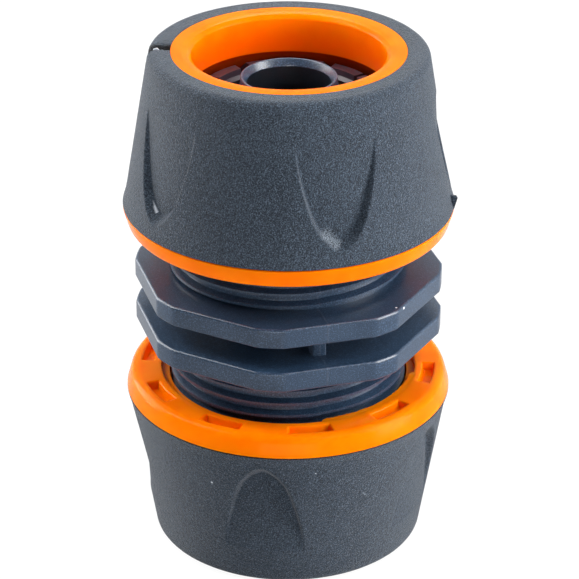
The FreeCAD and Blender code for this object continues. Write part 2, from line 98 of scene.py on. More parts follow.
class Wire:
    """One output of a node. Arithmetic on it adds Math nodes to its tree."""

    def __init__(self, plan, node, socket):
        self.plan, self.node, self.socket = plan, node, socket

    def __getitem__(self, name):
        return Wire(self.plan, self.node, self.node.outputs[name])

    def maths(self, operation, *values):
        return self.plan.add("ShaderNodeMath", {"operation": operation}, values)

    def __add__(self, other):
        return self.maths("ADD", self, other)

    __radd__ = __add__

    def __sub__(self, other):
        return self.maths("SUBTRACT", self, other)

    def __rsub__(self, other):
        return self.maths("SUBTRACT", other, self)

    def __mul__(self, other):
        return self.maths("MULTIPLY", self, other)

    __rmul__ = __mul__

    def __truediv__(self, other):
        return self.maths("DIVIDE", self, other)

    def __pow__(self, other):
        return self.maths("POWER", self, other)

    def __lt__(self, other):
        return self.maths("LESS_THAN", self, other)

    def __gt__(self, other):
        return self.maths("GREATER_THAN", self, other)

    def __abs__(self):
        return self.maths("ABSOLUTE", self)

    def cos(self):
        return self.maths("COSINE", self)

    def sin(self):
        return self.maths("SINE", self)

    def least(self, other):
        return self.maths("MINIMUM", self, other)

    def most(self, other):
        return self.maths("MAXIMUM", self, other)

    def fade(self, start, end, low=0.0, high=1.0):
        """Goes smoothly from low to high as the value goes from start to end."""
        settings = {"interpolation_type": "SMOOTHSTEP"}
        return self.plan.add("ShaderNodeMapRange", settings, {
            "Value": self, "From Min": start, "From Max": end, "To Min": low, "To Max": high})


class Plan:
    """A node tree being drawn up, for a shader or for a shape."""

    def __init__(self, tree):
        self.tree = tree

    def add(self, kind, settings=None, values=(), out=0):
        """Adds a node, makes its settings, then fills its sockets with values or links."""
        node = self.tree.nodes.new(kind)
        for name, setting in (settings or {}).items():
            setattr(node, name, setting)
        pairs = values.items() if isinstance(values, dict) else enumerate(values)
        for name, value in pairs:
            if isinstance(value, Wire):
                self.tree.links.new(value.socket, node.inputs[name])
            else:
                node.inputs[name].default_value = value
        socket = node.outputs[out] if len(node.outputs) else None
        return Wire(self, node, socket)

    def mix(self, amount, first, second):
        """The first colour, or the second where the amount is 1."""
        node = self.tree.nodes.new("ShaderNodeMix")
        node.data_type = "RGBA"
        colours = [s for s in node.inputs if s.type == "RGBA"]
        for socket, value in ((node.inputs[0], amount), (colours[0], first), (colours[1], second)):
            if isinstance(value, Wire):
                self.tree.links.new(value.socket, socket)
            else:
                socket.default_value = value
        return Wire(self, node, [s for s in node.outputs if s.type == "RGBA"][0])


# Finishes

GRAIN = 6400.0


def linear(red, green, blue):
    """A shader's colour from one given as 0 to 255 on a screen."""
    parts = [v / 255 for v in (red, green, blue)]
    return (*[v / 12.92 if v <= 0.04045 else ((v + 0.055) / 1.055) ** 2.4 for v in parts], 1.0)


def new_finish(name):
    """A material with an empty tree, and the place on the object that its pattern follows."""
    finish = bpy.data.materials.new(name)
    finish.use_nodes = True
    finish.node_tree.nodes.clear()
    plan = Plan(finish.node_tree)
    place = plan.add("ShaderNodeTexCoord")["Object"]
    return finish, plan, place


def close_finish(plan, colour, roughness, height, bump_distance, bump_strength=1.0, **uniform):
    """The surface shader and the material's output."""
    bump = plan.add("ShaderNodeBump", {}, {
        "Strength": bump_strength, "Distance": bump_distance, "Height": height})
    values = {"Base Color": colour, "Roughness": roughness, "Normal": bump}
    values.update({name.replace("_", " "): value for name, value in uniform.items()})
    shader = plan.add("ShaderNodeBsdfPrincipled", {}, values)
    plan.add("ShaderNodeOutputMaterial", {}, {"Surface": shader})


def speckle(plan, place, scale, detail=2.0, roughness=0.55):
    """Noise about 0.5, with scale cells to the metre."""
    values = {"Vector": place, "Scale": scale, "Detail": detail, "Roughness": roughness}
    return plan.add("ShaderNodeTexNoise", {}, values)


def near_spot(plan, place, spot, radius):
    """1 within a radius of a spot, both in millimetres, fading out round it."""
    away = plan.add("ShaderNodeVectorMath", {"operation": "DISTANCE"},
                    [place, tuple(v * MM for v in spot)], "Value")
    return away.fade(radius * 0.6 * MM, radius * MM, 1.0, 0.0)


def near_line(plan, place, start, end, width):
    """1 within a width of a straight line between two spots, in millimetres."""
    first, last = Vector(start) * MM, Vector(end) * MM
    run = (last - first).length
    way = (last - first) / run
    offset = plan.add("ShaderNodeVectorMath", {"operation": "SUBTRACT"}, [place, tuple(first)])
    along = plan.add("ShaderNodeVectorMath", {"operation": "DOT_PRODUCT"}, [offset, tuple(way)], "Value")
    along = along.most(0.0).least(run)
    reach = plan.add("ShaderNodeVectorMath", {"operation": "LENGTH"}, [offset], "Value")
    away = (reach * reach - along * along).most(0.0) ** 0.5
    return away.fade(width * 0.4 * MM, width * MM, 1.0, 0.0)


def off_axis(axes):
    """Distance from the axis."""
    return (axes["X"] * axes["X"] + axes["Y"] * axes["Y"]) ** 0.5


def make_body_finish(specks):
    """Dark moulded plastic with a fine grain, a trace of the mould's parting line, a few specks of dust and painted
    shade down the waterway.
    """
    finish, plan, place = new_finish("moulded_body")
    grain = speckle(plan, place, GRAIN)
    broad = speckle(plan, place, 260.0, 3.0)
    axes = plan.add("ShaderNodeSeparateXYZ", {}, [place])
    seam = abs(axes["X"] - SEAM_SHIFT * MM).fade(0.04 * MM, 0.2 * MM, 1.0, 0.0) * (abs(axes["Y"]) > 6.8 * MM)
    colour = plan.mix(broad.fade(0.38, 0.62), linear(28, 50, 74), linear(34, 56, 80))
    colour = plan.mix(seam * 0.16, colour, linear(96, 100, 112))
    colour = plan.mix(grain.fade(0.5, 0.7) * 0.5, colour, linear(86, 112, 142))
    colour = plan.mix(grain.fade(0.5, 0.3) * 0.5, colour, linear(16, 18, 26))
    # Painted shade: the waterway inside the tails is coloured near black where shade falls.
    painted_bore_shade = (off_axis(axes) < 5.6 * MM) * (abs(axes["Z"]) < 28.85 * MM)
    colour = plan.mix(painted_bore_shade * 0.9, colour, linear(9, 9, 12))
    for spot, radius in specks:
        colour = plan.mix(near_spot(plan, place, spot, radius), colour, linear(225, 228, 235))
    roughness = 0.38 + (broad - 0.5) * 0.12 + (grain - 0.5) * 0.2
    height = grain + broad * 0.25 + seam * 0.6
    close_finish(plan, colour, roughness, height, 0.00004, 0.7, Specular_IOR_Level=0.6,
                 Coat_Weight=0.4, Coat_Roughness=0.22)
    return finish


def make_claw_finish():
    """Smooth near-black plastic with a warm cast."""
    finish, plan, place = new_finish("claw_plastic")
    cloud = speckle(plan, place, 400.0, 3.0)
    colour = plan.mix(cloud.fade(0.35, 0.65), linear(60, 47, 57), linear(74, 59, 70))
    close_finish(plan, colour, 0.4 + (cloud - 0.5) * 0.1, cloud, 0.00003, 0.5, Specular_IOR_Level=0.5)
    return finish


def make_nut_finish():
    """Bright glossy plastic, a little soft to light, with faint flow marks. Shade deep in the mouth is painted: the
    lip's wall turns redder downwards and the cone below it carries a dark red painted shadow.
    """
    finish, plan, place = new_finish("bright_nut")
    wave = speckle(plan, place, 190.0, 2.0)
    fine = speckle(plan, place, 1500.0, 2.0)
    colour = plan.mix(wave.fade(0.35, 0.65), linear(252, 114, 0), linear(255, 122, 2))
    axes = plan.add("ShaderNodeSeparateXYZ", {}, [place])
    reach, up = off_axis(axes), abs(axes["Z"])
    # Painted shade: the lip's inner wall is coloured redder towards its bottom, where shade falls.
    painted_lip_shade = (reach < (LIP_RADIUS + 0.3) * MM) * up.fade(33.0 * MM, 29.2 * MM)
    colour = plan.mix(painted_lip_shade * 0.8, colour, linear(255, 88, 0))
    # Painted shadow: the widening cone under the lip is coloured dark red where it lies in shade.
    cone = (reach < 15.6 * MM) * (up > 21.0 * MM) * up.fade(28.25 * MM, 28.05 * MM)
    colour = plan.mix(cone * 0.85, colour, linear(130, 12, 2))
    roughness = 0.16 + (wave - 0.5) * 0.08 + (fine - 0.5) * 0.06
    close_finish(plan, colour, roughness, wave * 0.8 + fine * 0.12, 0.00006, 0.5,
                 IOR=1.28, Specular_IOR_Level=0.25, Specular_Tint=(1.0, 0.6, 0.2, 1.0), Subsurface_Weight=0.45,
                 Subsurface_Radius=(1.0, 0.25, 0.03), Subsurface_Scale=0.002)
    return finish


def make_grip_finish(name, spots=(), scratches_and_painted_light=(), painted_shadows=(), painted_highlights=()):
    """Soft rubbery plastic with a pebbled grain. Dust lies in spots. Scratches are pale and speckled, and the same
    pale speckle also paints light onto one place. Painted shadows are dark and painted highlights are white."""
    finish, plan, place = new_finish(name)
    pebble = speckle(plan, place, GRAIN, 2.0, 0.65)
    coarse = speckle(plan, place, 1900.0)
    broad = speckle(plan, place, 130.0, 3.0)
    colour = plan.mix(broad.fade(0.35, 0.65), linear(41, 52, 65), linear(47, 58, 71))
    colour = plan.mix(pebble.fade(0.5, 0.70) * 0.85, colour, linear(94, 108, 124))
    colour = plan.mix(pebble.fade(0.5, 0.32) * 0.85, colour, linear(12, 15, 20))
    for spot, radius in spots:
        colour = plan.mix(near_spot(plan, place, spot, radius) * 0.9, colour, linear(205, 212, 218))
    # Pale speckled lines: the lower sleeve's one real scratch, and painted light on the upper sleeve's front recess
    # apex wall.
    for start, end, width in scratches_and_painted_light:
        trace = near_line(plan, place, start, end, width) * pebble.fade(0.36, 0.6)
        colour = plan.mix(trace * 0.5, colour, linear(150, 160, 170))
    roughness = 0.62 + (broad - 0.5) * 0.12 + (pebble - 0.5) * 0.2
    # Painted shadow: near-black lines stand in for the shade on the tear's far wall.
    for start, end, width in painted_shadows:
        colour = plan.mix(near_line(plan, place, start, end, width) * 0.9, colour, linear(8, 9, 12))
    # Painted highlights: white lines stand in for glints of light on the tear's curl and in a finger recess.
    for start, end, width in painted_highlights:
        colour = plan.mix(near_line(plan, place, start, end, width), colour, linear(225, 230, 240))
    close_finish(plan, colour, roughness, pebble + coarse * 0.5, 0.00024, 0.9, Specular_IOR_Level=0.25,
                 Sheen_Weight=0.25, Sheen_Roughness=0.33)
    return finish


def round_place(angle, height, radius):
    """A spot in millimetres from an angle round the axis, a height and a radius."""
    turn = math.radians(angle)
    return (radius * math.sin(turn), -radius * math.cos(turn), height)


# Shapes

def softened(corners):
    """A closed outline with its corners rounded. Each corner is (radius, height, rounding)."""
    points = []
    count = len(corners)
    for number, (r, z, size) in enumerate(corners):
        here = np.array([r, z], float)
        if not size:
            points.append(tuple(here))
            continue
        before = np.array(corners[number - 1][:2], float) - here
        after = np.array(corners[(number + 1) % count][:2], float) - here
        before /= np.linalg.norm(before)
        after /= np.linalg.norm(after)
        half = math.acos(float(np.clip(before @ after, -1, 1))) / 2
        middle = (before + after) / np.linalg.norm(before + after)
        centre = here + middle * size / math.sin(half)
        start = here + before * size / math.tan(half) - centre
        end = here + after * size / math.tan(half) - centre
        a0, a1 = math.atan2(start[1], start[0]), math.atan2(end[1], end[0])
        sweep = (a1 - a0 + math.pi) % (2 * math.pi) - math.pi
        steps = max(2, int(abs(sweep) / math.radians(14)))
        for step in range(steps + 1):
            angle = a0 + sweep * step / steps
            points.append((centre[0] + size * math.cos(angle), centre[1] + size * math.sin(angle)))
    return points


def subdivided(points, longest, closed=True):
    """Points put in so that no straight stretch is longer than a length."""
    out = []
    count = len(points)
    for number in range(count if closed else count - 1):
        a, b = np.array(points[number]), np.array(points[(number + 1) % count])
        steps = max(1, int(math.ceil(np.linalg.norm(b - a) / longest)))
        out += [tuple(a + (b - a) * step / steps) for step in range(steps)]
    return out if closed else out + [points[-1]]


def new_mesh_object(name, vertices, faces):
    """A mesh object from places in millimetres."""
    mesh = bpy.data.meshes.new(name)
    mesh.from_pydata([tuple(v) for v in np.asarray(vertices) * MM], [], faces)
    made = bpy.data.objects.new(name, mesh)
    bpy.context.scene.collection.objects.link(made)
    return made


def sector(name, places):
    """A strip of surface round the axis. places[row, column] is (radius, height, degrees); rows close up."""
    rows, columns = places.shape[:2]
    turn = np.radians(places[..., 2])
    x, y = places[..., 0] * np.sin(turn), -places[..., 0] * np.cos(turn)
    vertices = np.stack([x, y, places[..., 1]], -1).reshape(-1, 3)
    faces = []
    for row in range(rows):
        below = (row + 1) % rows
        for column in range(columns - 1):
            faces.append((row * columns + column, row * columns + column + 1,
                          below * columns + column + 1, below * columns + column))
    return new_mesh_object(name, vertices, faces)


def baked(made, name):
    """The object as its modifiers show it, as a plain mesh object."""
    bpy.context.view_layer.update()
    evaluated = made.evaluated_get(bpy.context.evaluated_depsgraph_get())
    mesh = bpy.data.meshes.new_from_object(evaluated)
    result = bpy.data.objects.new(name, mesh)
    bpy.context.scene.collection.objects.link(result)
    bpy.data.objects.remove(made)
    return result


def run_tree(made, tree, name, **inputs):
    """Runs a shape tree on an object with the named inputs, and bakes the result."""
    modifier = made.modifiers.new("shape", "NODES")
    modifier.node_group = tree
    sockets = {s.name: s.identifier for s in tree.interface.items_tree if s.item_type == "SOCKET"}
    for label, value in inputs.items():
        modifier[sockets[label.replace("_", " ")]] = value
    return baked(made, name)


def new_shape_tree(name, inputs):
    """A shape tree with its inputs, each as (label, kind, value)."""
    tree = bpy.data.node_groups.new(name, "GeometryNodeTree")
    tree.interface.new_socket("Geometry", in_out="OUTPUT", socket_type="NodeSocketGeometry")
    tree.interface.new_socket("Geometry", in_out="INPUT", socket_type="NodeSocketGeometry")
    for label, kind, value in inputs:
        socket = tree.interface.new_socket(label, in_out="INPUT", socket_type="NodeSocket" + kind)
        if value is not None:
            socket.default_value = value
    plan = Plan(tree)
    return tree, plan, plan.add("NodeGroupInput")


def copies_tree():
    """Copies of a sector set evenly round the axis and welded into one ring."""
    tree, plan, given = new_shape_tree("sectors_round_the_axis", [
        ("Count", "Int", 5), ("Weld", "Float", WELD), ("Finish", "Material", None)])
    spots = plan.add("GeometryNodePoints", {}, {"Count": given["Count"]})
    turn = plan.add("GeometryNodeInputIndex") * math.tau / given["Count"]
    facing = plan.add("ShaderNodeCombineXYZ", {}, {"Z": turn})
    facing = plan.add("FunctionNodeEulerToRotation", {}, [facing])
    ring = plan.add("GeometryNodeInstanceOnPoints", {}, {
        "Points": spots, "Instance": given["Geometry"], "Rotation": facing})
    ring = plan.add("GeometryNodeRealizeInstances", {}, {"Geometry": ring})
    ring = plan.add("GeometryNodeMergeByDistance", {}, {"Geometry": ring, "Distance": given["Weld"]})
    ring = plan.add("GeometryNodeSetMaterial", {}, {"Geometry": ring, "Material": given["Finish"]})
    plan.add("NodeGroupOutput", {}, {"Geometry": ring})
    return tree


def ridge_tree():
    """A thread's ridge: a right-handed screw line with a rounded crest, fading out at both ends."""
    tree, plan, given = new_shape_tree("thread_ridge", [
        ("Steps", "Int", 900), ("Turns", "Float", 6.0), ("Pitch", "Float", PITCH * MM),
        ("Start Height", "Float", 0.0), ("Start Angle", "Float", 0.0), ("Way", "Float", 1.0),
        ("Wall Radius", "Float", CORE_RADIUS * MM), ("Depth", "Float", 0.001), ("Sunk", "Float", 0.0003),
        ("Root Width", "Float", 0.001), ("Crest Share", "Float", 0.34), ("Fade Turns", "Float", 0.12),
        ("Mould Step", "Float", 0.0), ("Finish", "Material", None)])
    across = 14
    sheet = plan.add("GeometryNodeMeshGrid", {}, {
        "Size X": 1.0, "Size Y": 1.0, "Vertices X": given["Steps"], "Vertices Y": across})
    here = plan.add("ShaderNodeSeparateXYZ", {}, [plan.add("GeometryNodeInputPosition")])
    along = here["X"] + 0.5
    way_over = (here["Y"] + 0.5) * ((across - 1) / (across - 2))
    over = way_over * (way_over < 1.0005) * 2.0 - 1.0
    turned = along * given["Turns"]
    from_end = turned.least(given["Turns"] - turned)
    full = (from_end / given["Fade Turns"]).fade(0.0, 1.0)
    flank = ((1.0 - abs(over)) / (1.0 - given["Crest Share"])).least(1.0).most(0.0)
    flank = flank.fade(0.0, 1.0) * 0.35 + flank * 0.65
    reach = given["Wall Radius"] + (flank * (given["Depth"] + given["Sunk"]) * full - given["Sunk"])
    angle = given["Start Angle"] + given["Way"] * turned * math.tau
    side = (angle.cos() * reach / (0.12 * MM)).least(1.0).most(-1.0)
    height = (given["Start Height"] + given["Way"] * turned * given["Pitch"]
              + over * full * given["Root Width"] * 0.5 + side * given["Mould Step"] * 0.5)
    spot = plan.add("ShaderNodeCombineXYZ", {}, {
        "X": angle.cos() * reach, "Y": angle.sin() * reach, "Z": height})
    ridge = plan.add("GeometryNodeSetPosition", {}, {"Geometry": sheet, "Position": spot})
    ridge = plan.add("GeometryNodeMergeByDistance", {}, {"Geometry": ridge, "Distance": WELD})
    ridge = plan.add("GeometryNodeRealizeInstances", {}, {"Geometry": ridge})
    ridge = plan.add("GeometryNodeSetMaterial", {}, {"Geometry": ridge, "Material": given["Finish"]})
    plan.add("NodeGroupOutput", {}, {"Geometry": ridge})
    return tree


def lathed(name, outline, columns=192):
    """A closed outline of (radius, height) turned right round the axis."""
    angles = np.linspace(0, 360, columns + 1)
    places = np.array([[(r, z, angle) for angle in angles] for r, z in outline], float)
    return sector(name, places)


def dressed(made, finish, crease):
    """Welds, points the faces outwards, smooths them up to a crease angle and gives the finish."""
    work = bmesh.new()
    work.from_mesh(made.data)
    bmesh.ops.remove_doubles(work, verts=work.verts, dist=WELD)
    bmesh.ops.dissolve_degenerate(work, edges=work.edges, dist=1e-8)
    bmesh.ops.recalc_face_normals(work, faces=work.faces)
    work.to_mesh(made.data)
    work.free()
    made.data.materials.clear()
    made.data.materials.append(finish)
    made.data.shade_smooth()
    made.data.set_sharp_from_angle(angle=math.radians(crease))
    return made


def joined(name, pieces):
    """Several mesh objects as one."""
    work = bmesh.new()
    for piece in pieces:
        work.from_mesh(piece.data)
    mesh = bpy.data.meshes.new(name)
    work.to_mesh(mesh)
    work.free()
    for piece in pieces:
        bpy.data.objects.remove(piece)
    made = bpy.data.objects.new(name, mesh)
    bpy.context.scene.collection.objects.link(made)
    return made


def turn_over(made, upside_down, turn, height):
    """Puts a nut's own shape in its place: recess turned to an angle, open face at a height."""
    place = Matrix.Rotation(math.radians(turn), 4, "Z")
    if upside_down:
        place = place @ Matrix.Rotation(math.pi, 4, "Y")
    made.data.transform(Matrix.Translation((0, 0, height * MM)) @ place)
    return made


COPIES = copies_tree()
RIDGE = ridge_tree()


def copied_round(made, name, count):
    """A sector copied round the axis, as one mesh."""
    return run_tree(made, COPIES, name, Count=count, Weld=WELD)


def thread_ridge(name, **sizes):
    """A thread's ridge with the named sizes, in metres."""
    blank = new_mesh_object(name + "_blank", [(0, 0, 0)], [])
    return run_tree(blank, RIDGE, name, **sizes)


# Centre body

def flange(name, low, high):
    """A wrench flange: eight flats with blunted corners and softly rounded edges."""
    rise = high - low
    steps = 5
    edge = [(FLANGE_ROUND * (1 - math.sin(math.pi / 2 * s / steps)),
             FLANGE_ROUND * (1 - math.cos(math.pi / 2 * s / steps))) for s in range(steps + 1)]
    side = [(inset, low + up) for inset, up in edge]
    side += [(0.0, low + rise * part) for part in (0.35, 0.65)]
    side += [(inset, high - up) for inset, up in reversed(edge)]
    flat_shares = np.linspace(0, 1, 13)
    corner_shares = np.linspace(0, 1, 5)[1:]
    rows = []
    for inset, z in side:
        knee = math.degrees(math.acos((FLATS_HALF - inset) / (CORNER_RADIUS - inset)))
        half = [share * knee for share in flat_shares]
        half += [knee + share * (22.5 - knee) for share in corner_shares]
        angles = [-a for a in reversed(half[1:])] + half
        row = []
        for angle in angles:
            flat = (FLATS_HALF - inset) / math.cos(math.radians(angle))
            row.append((min(flat, CORNER_RADIUS - inset), z, angle))
        rows.append(row)
    rim = rows[-1]
    for share, z in ((0.985, high), (0.9, high), (0.7, high), (0.0, high), (0.0, low), (0.7, low),
                     (0.9, low), (0.985, low)):
        rows.append([(SEAT_RADIUS + (r - SEAT_RADIUS) * share, z, angle) for r, _, angle in rim])
    return copied_round(sector(name + "_sector", np.array(rows, float)), name, 8)


def rib_sector():
    """One rib of the gap, at -Y, with a rounded outer end."""
    half, low, high = 0.9, -(GAP_HALF + 0.6), GAP_HALF + 0.6
    turn = math.asin(SEAM_SHIFT / 15)
    outline = [(-half, -8.0), (half, -8.0)]
    for step in range(7):
        angle = math.radians(90 * step / 6)
        outline.append((half - 0.3 * (1 - math.cos(angle)), -15.0 - 0.3 * math.sin(angle)))
    outline += [(-x, y) for x, y in reversed(outline[2:])]
    count = len(outline)
    outline = [(x * math.cos(turn) - y * math.sin(turn), x * math.sin(turn) + y * math.cos(turn)) for x, y in outline]
    vertices = [(x, y, low) for x, y in outline] + [(x, y, high) for x, y in outline]
    faces = [(i, (i + 1) % count, (i + 1) % count + count, i + count) for i in range(count)]
    faces += [tuple(range(count - 1, -1, -1)), tuple(range(count, 2 * count))]
    return new_mesh_object("rib_sector", vertices, faces)


def make_centre_body(finish):
    """Tails, collars and neck turned as one, with flanges, ribs and both threads."""
    half = [
        (5.25, 28.9, 0.2), (5.75, TAIL_TIP, 0.16), (6.0, TAIL_TIP, 0.1), (BARB_RADIUS, 24.54, 0.08),
        (BARB_ROOT, 24.24, 0.1), (BARB_RADIUS, 19.04, 0.08), (BARB_ROOT, 18.74, 0.1), (TAIL_RADIUS, 13.54, 0.3),
        (TAIL_RADIUS, FLANGE_FACE, 0.4), (COLLAR_BORE, FLANGE_FACE, 0.4), (COLLAR_BORE, COLLAR_END, 0.25),
        (CORE_RADIUS, COLLAR_END, 0.35),
        (CORE_RADIUS, 3.0, 0), (SEAT_RADIUS, 3.0, 0), (SEAT_RADIUS, GAP_HALF, 0),
        (NECK_RADIUS, GAP_HALF, 0.3), (NECK_RADIUS, 0, 0)]
    outline = half + [(r, -z, size) for r, z, size in reversed(half[:-1])]
    core = lathed("body_core", subdivided(softened(outline), 2.5))
    pieces = [core, flange("upper_flange", GAP_HALF, FLANGE_FACE), flange("lower_flange", -FLANGE_FACE, -GAP_HALF),
              copied_round(rib_sector(), "ribs", 2)]
    common = dict(Pitch=PITCH * MM, Wall_Radius=CORE_RADIUS * MM, Depth=1.0 * MM, Sunk=0.3 * MM,
                  Root_Width=1.06 * MM, Crest_Share=0.4, Fade_Turns=0.1, Mould_Step=0.1 * MM, Start_Angle=0.0)
    pieces.append(thread_ridge("upper_ridge", Start_Height=4.06 * MM, Turns=11.2 / PITCH + 0.17, Way=1.0, **common))
    pieces.append(thread_ridge("lower_ridge", Start_Height=-4.5 * MM, Turns=11.04 / PITCH, Way=-1.0, **common))
    body = dressed(joined("threaded_body", pieces), finish, 34.0)
    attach(body, "centre_body")
    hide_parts("centre_body")
    return body


# Nuts

def pocket_depth(inside):
    """Depth of an open-face pocket at a distance inside its edge."""
    return np.interp(inside, [-0.16, -0.06, 0.02, 0.14, 0.26], [0.0, 0.06, 0.2, 1.0, 1.12])


def nut_sector(name):
    """A tenth of the nut, with one pocket in its open face. Drawn up from the open face."""
    low_r, high_r, half_angle = 17.48, 19.0, 8.5
    face = [low_r + d for d in (-0.16, -0.06, 0.02, 0.14, 0.26, 0.5)]
    face += [high_r - d for d in (0.5, 0.26, 0.14, 0.02, -0.06, -0.16)]
    outer = [(20.25, 0.0, 1.15), (RING_RADIUS, RING_HEIGHT, 0.12), (20.0, RING_HEIGHT, 0), (19.3, 3.4, 0),
             (18.5, CONE_FOOT, 0), (15.88, MOUTH_SHOULDER, 0), (MOUTH_RADIUS, MOUTH_SHOULDER, 0),
             (MOUTH_RADIUS, NUT_LENGTH, 0.10), (13.3, NUT_LENGTH - 0.05, 0.3), (12.62, NUT_LENGTH - 0.17, 0.35),
             (LIP_RADIUS, NUT_LENGTH - 0.62, 0.3), (LIP_RADIUS, 17.94, 0.2), (NUT_THREAD_RADIUS, 12.6, 0),
             (NUT_THREAD_RADIUS, 0.8, 0), (ENTRY_RADIUS, 0.8, 0), (ENTRY_RADIUS, 0.0, 0.22)]
    points = softened(outer)
    start = int(np.argmax([abs(z) < 1e-9 and r > 19 for r, z in points]))
    points = points[start:] + points[:start]
    entry = int(np.argmin([abs(z) + abs(r - (ENTRY_RADIUS + 0.22)) for r, z in points]))
    points = points[:entry + 1]
    rows = subdivided(points, 1.6, closed=False)
    rows += [(r, 0.0) for r in face]
    steps = [-0.6, -0.3, -0.16, -0.06, 0.02, 0.14, 0.26, 0.55]
    reach = high_r
    edge = [half_angle - math.degrees(d / reach) for d in steps]
    half = sorted(set([0.0, 1.6, 3.2, 4.8, 6.2, 11.0, 13.0, 15.5, 18.0] + edge))
    angles = [-a for a in reversed(half[1:])] + half
    places = []
    for number, (r, z) in enumerate(rows):
        row = []
        for angle in angles:
            drop = 0.0
            if number >= len(rows) - len(face):
                inside = min(r - low_r, high_r - r, math.radians(half_angle - abs(angle)) * reach)
                drop = float(pocket_depth(inside))
            row.append((r, z + drop, angle))
        places.append(row)
    return sector(name, np.array(places, float))


def ragged_flash():
    """A thin ragged skin of plastic left along the lower nut's entry, in place."""
    chance = np.random.default_rng(7)
    first, last = 15.0, 80.0
    angles = np.arange(first, last, 0.7)
    wander = np.interp(angles, angles[::5], chance.uniform(-0.06, 0.06, len(angles[::5])))
    inner = 15.98 + wander + chance.uniform(-0.05, 0.05, len(angles))
    ends = np.clip(np.minimum(angles - first, last - angles) / 3.0, 0, 1)
    inner = ENTRY_RADIUS + (inner - ENTRY_RADIUS) * ends ** 0.5
    lift = 0.03 + chance.uniform(0, 0.05, len(angles)) * ends
    vertices, faces = [], []
    for angle, r, up in zip(angles, inner, lift):
        for reach, rise in ((r, up - 0.04), (16.8, 0.012), (16.8, -0.85), (r, -0.75)):
            vertices.append(round_place(angle + VIEW_SWING, rise - NUT_FACE, reach))
    for step in range(len(angles) - 1):
        a, b = 4 * step, 4 * step + 4
        faces += [(a + i, a + (i + 1) % 4, b + (i + 1) % 4, b + i) for i in range(4)]
    faces += [(3, 2, 1, 0), tuple(len(vertices) - 4 + i for i in range(4))]
    return new_mesh_object("ragged_flash", vertices, faces)


def make_nut(name, upside_down, turn, ridge_start, ridge_angle, finish, node):
    """The hard nut with its thread. Its ridge starts at a height and an angle that clear the body's ridge."""
    nut = copied_round(nut_sector(name + "_sector"), name + "_shell", 10)
    ridge = thread_ridge(name + "_ridge", Steps=400, Turns=4.0, Pitch=PITCH * MM, Start_Height=ridge_start * MM,
                         Start_Angle=ridge_angle, Way=1.0, Wall_Radius=NUT_THREAD_RADIUS * MM, Depth=-1.0 * MM,
                         Sunk=-0.3 * MM, Root_Width=1.0 * MM, Crest_Share=0.34, Fade_Turns=0.15, Mould_Step=0.0)
    height = -NUT_FACE if upside_down else NUT_FACE
    pieces = [turn_over(nut, upside_down, turn + 18, height), turn_over(ridge, upside_down, 0, height)]
    if upside_down:
        pieces.append(ragged_flash())
    made = dressed(joined(name, pieces), finish, 40.0)
    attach(made, node)
    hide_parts(node)
    return made


# Grip sleeves

SCOOP_SIDE = [(17.9, 5.1), (16.5, 5.07), (14.1, 4.84), (11.92, 4.43), (9.42, 3.80), (7.5, 3.08), (6.2, 2.3),
              (5.6, 1.82), (5.1, 1.3), (4.74, 0.8), (4.58, 0.4), (4.53, 0.0)]
SCOOP_START, SCOOP_END, SCOOP_DEPTH = 4.53, 17.7, 1.3
RIM_ROUND = 0.09
TOP_ROUND = 1.0


def smooth_line(points, steps=12):
    """A smooth curve through points."""
    padded = [points[0]] + list(points) + [points[-1]]
    spots = []
    for p0, p1, p2, p3 in zip(padded, padded[1:], padded[2:], padded[3:]):
        p0, p1, p2, p3 = map(np.array, (p0, p1, p2, p3))
        for t in np.linspace(0, 1, steps, endpoint=False):
            spots.append(0.5 * (2 * p1 + (p2 - p0) * t + (2 * p0 - 5 * p1 + 4 * p2 - p3) * t ** 2
                                + (3 * p1 - p0 - 3 * p2 + p3) * t ** 3))
    spots.append(np.array(points[-1], float))
    return np.array(spots)


def cone_radius(height):
    """Radius of a sleeve's cone at a height along the nut."""
    return CONE_RADIUS + (CONE_TOP_RADIUS - CONE_RADIUS) * (height - CONE_FOOT) / (NUT_LENGTH - CONE_FOOT)


# The rim of a finger recess as (height, distance from its middle), both sides
RIM = smooth_line(SCOOP_SIDE + [(u, -w) for u, w in reversed(SCOOP_SIDE[:-1])])


def inside_rim(heights, across):
    """Distance inside the recess's rim, negative outside it, for arrays of places."""
    spots = np.stack([heights, across], -1)[..., None, :]
    first, run = RIM[:-1], RIM[1:] - RIM[:-1]
    share = np.clip(((spots - first) * run).sum(-1) / (run * run).sum(-1), 0, 1)
    away = np.linalg.norm(first + run * share[..., None] - spots, axis=-1).min(-1)
    tall = sorted((u, w) for u, w in RIM if w >= 0)
    half = np.interp(heights, *zip(*tall), left=0.0)
    return np.where((heights > SCOOP_START) & (np.abs(across) < half), away, -away)


def scoop_drop(heights, across):
    """How far the recess lies below the cone: steep under a crisp rim, then easing into its floor."""
    along = np.clip((heights - SCOOP_START) / (SCOOP_END - SCOOP_START), 0, 1)
    inside = inside_rim(heights, across)
    edged = np.where(inside < RIM_ROUND, np.maximum(inside + RIM_ROUND, 0) ** 2 / (4 * RIM_ROUND), inside)
    wall = 0.13 + 0.5 * (1 - along) + 1.1 * np.exp(-((heights - SCOOP_START) / 1.6) ** 2)
    share = np.clip(edged / wall, 0, 1)
    return SCOOP_DEPTH * (1 - along) ** 0.8 * (1 - (1 - share) ** 1.6)


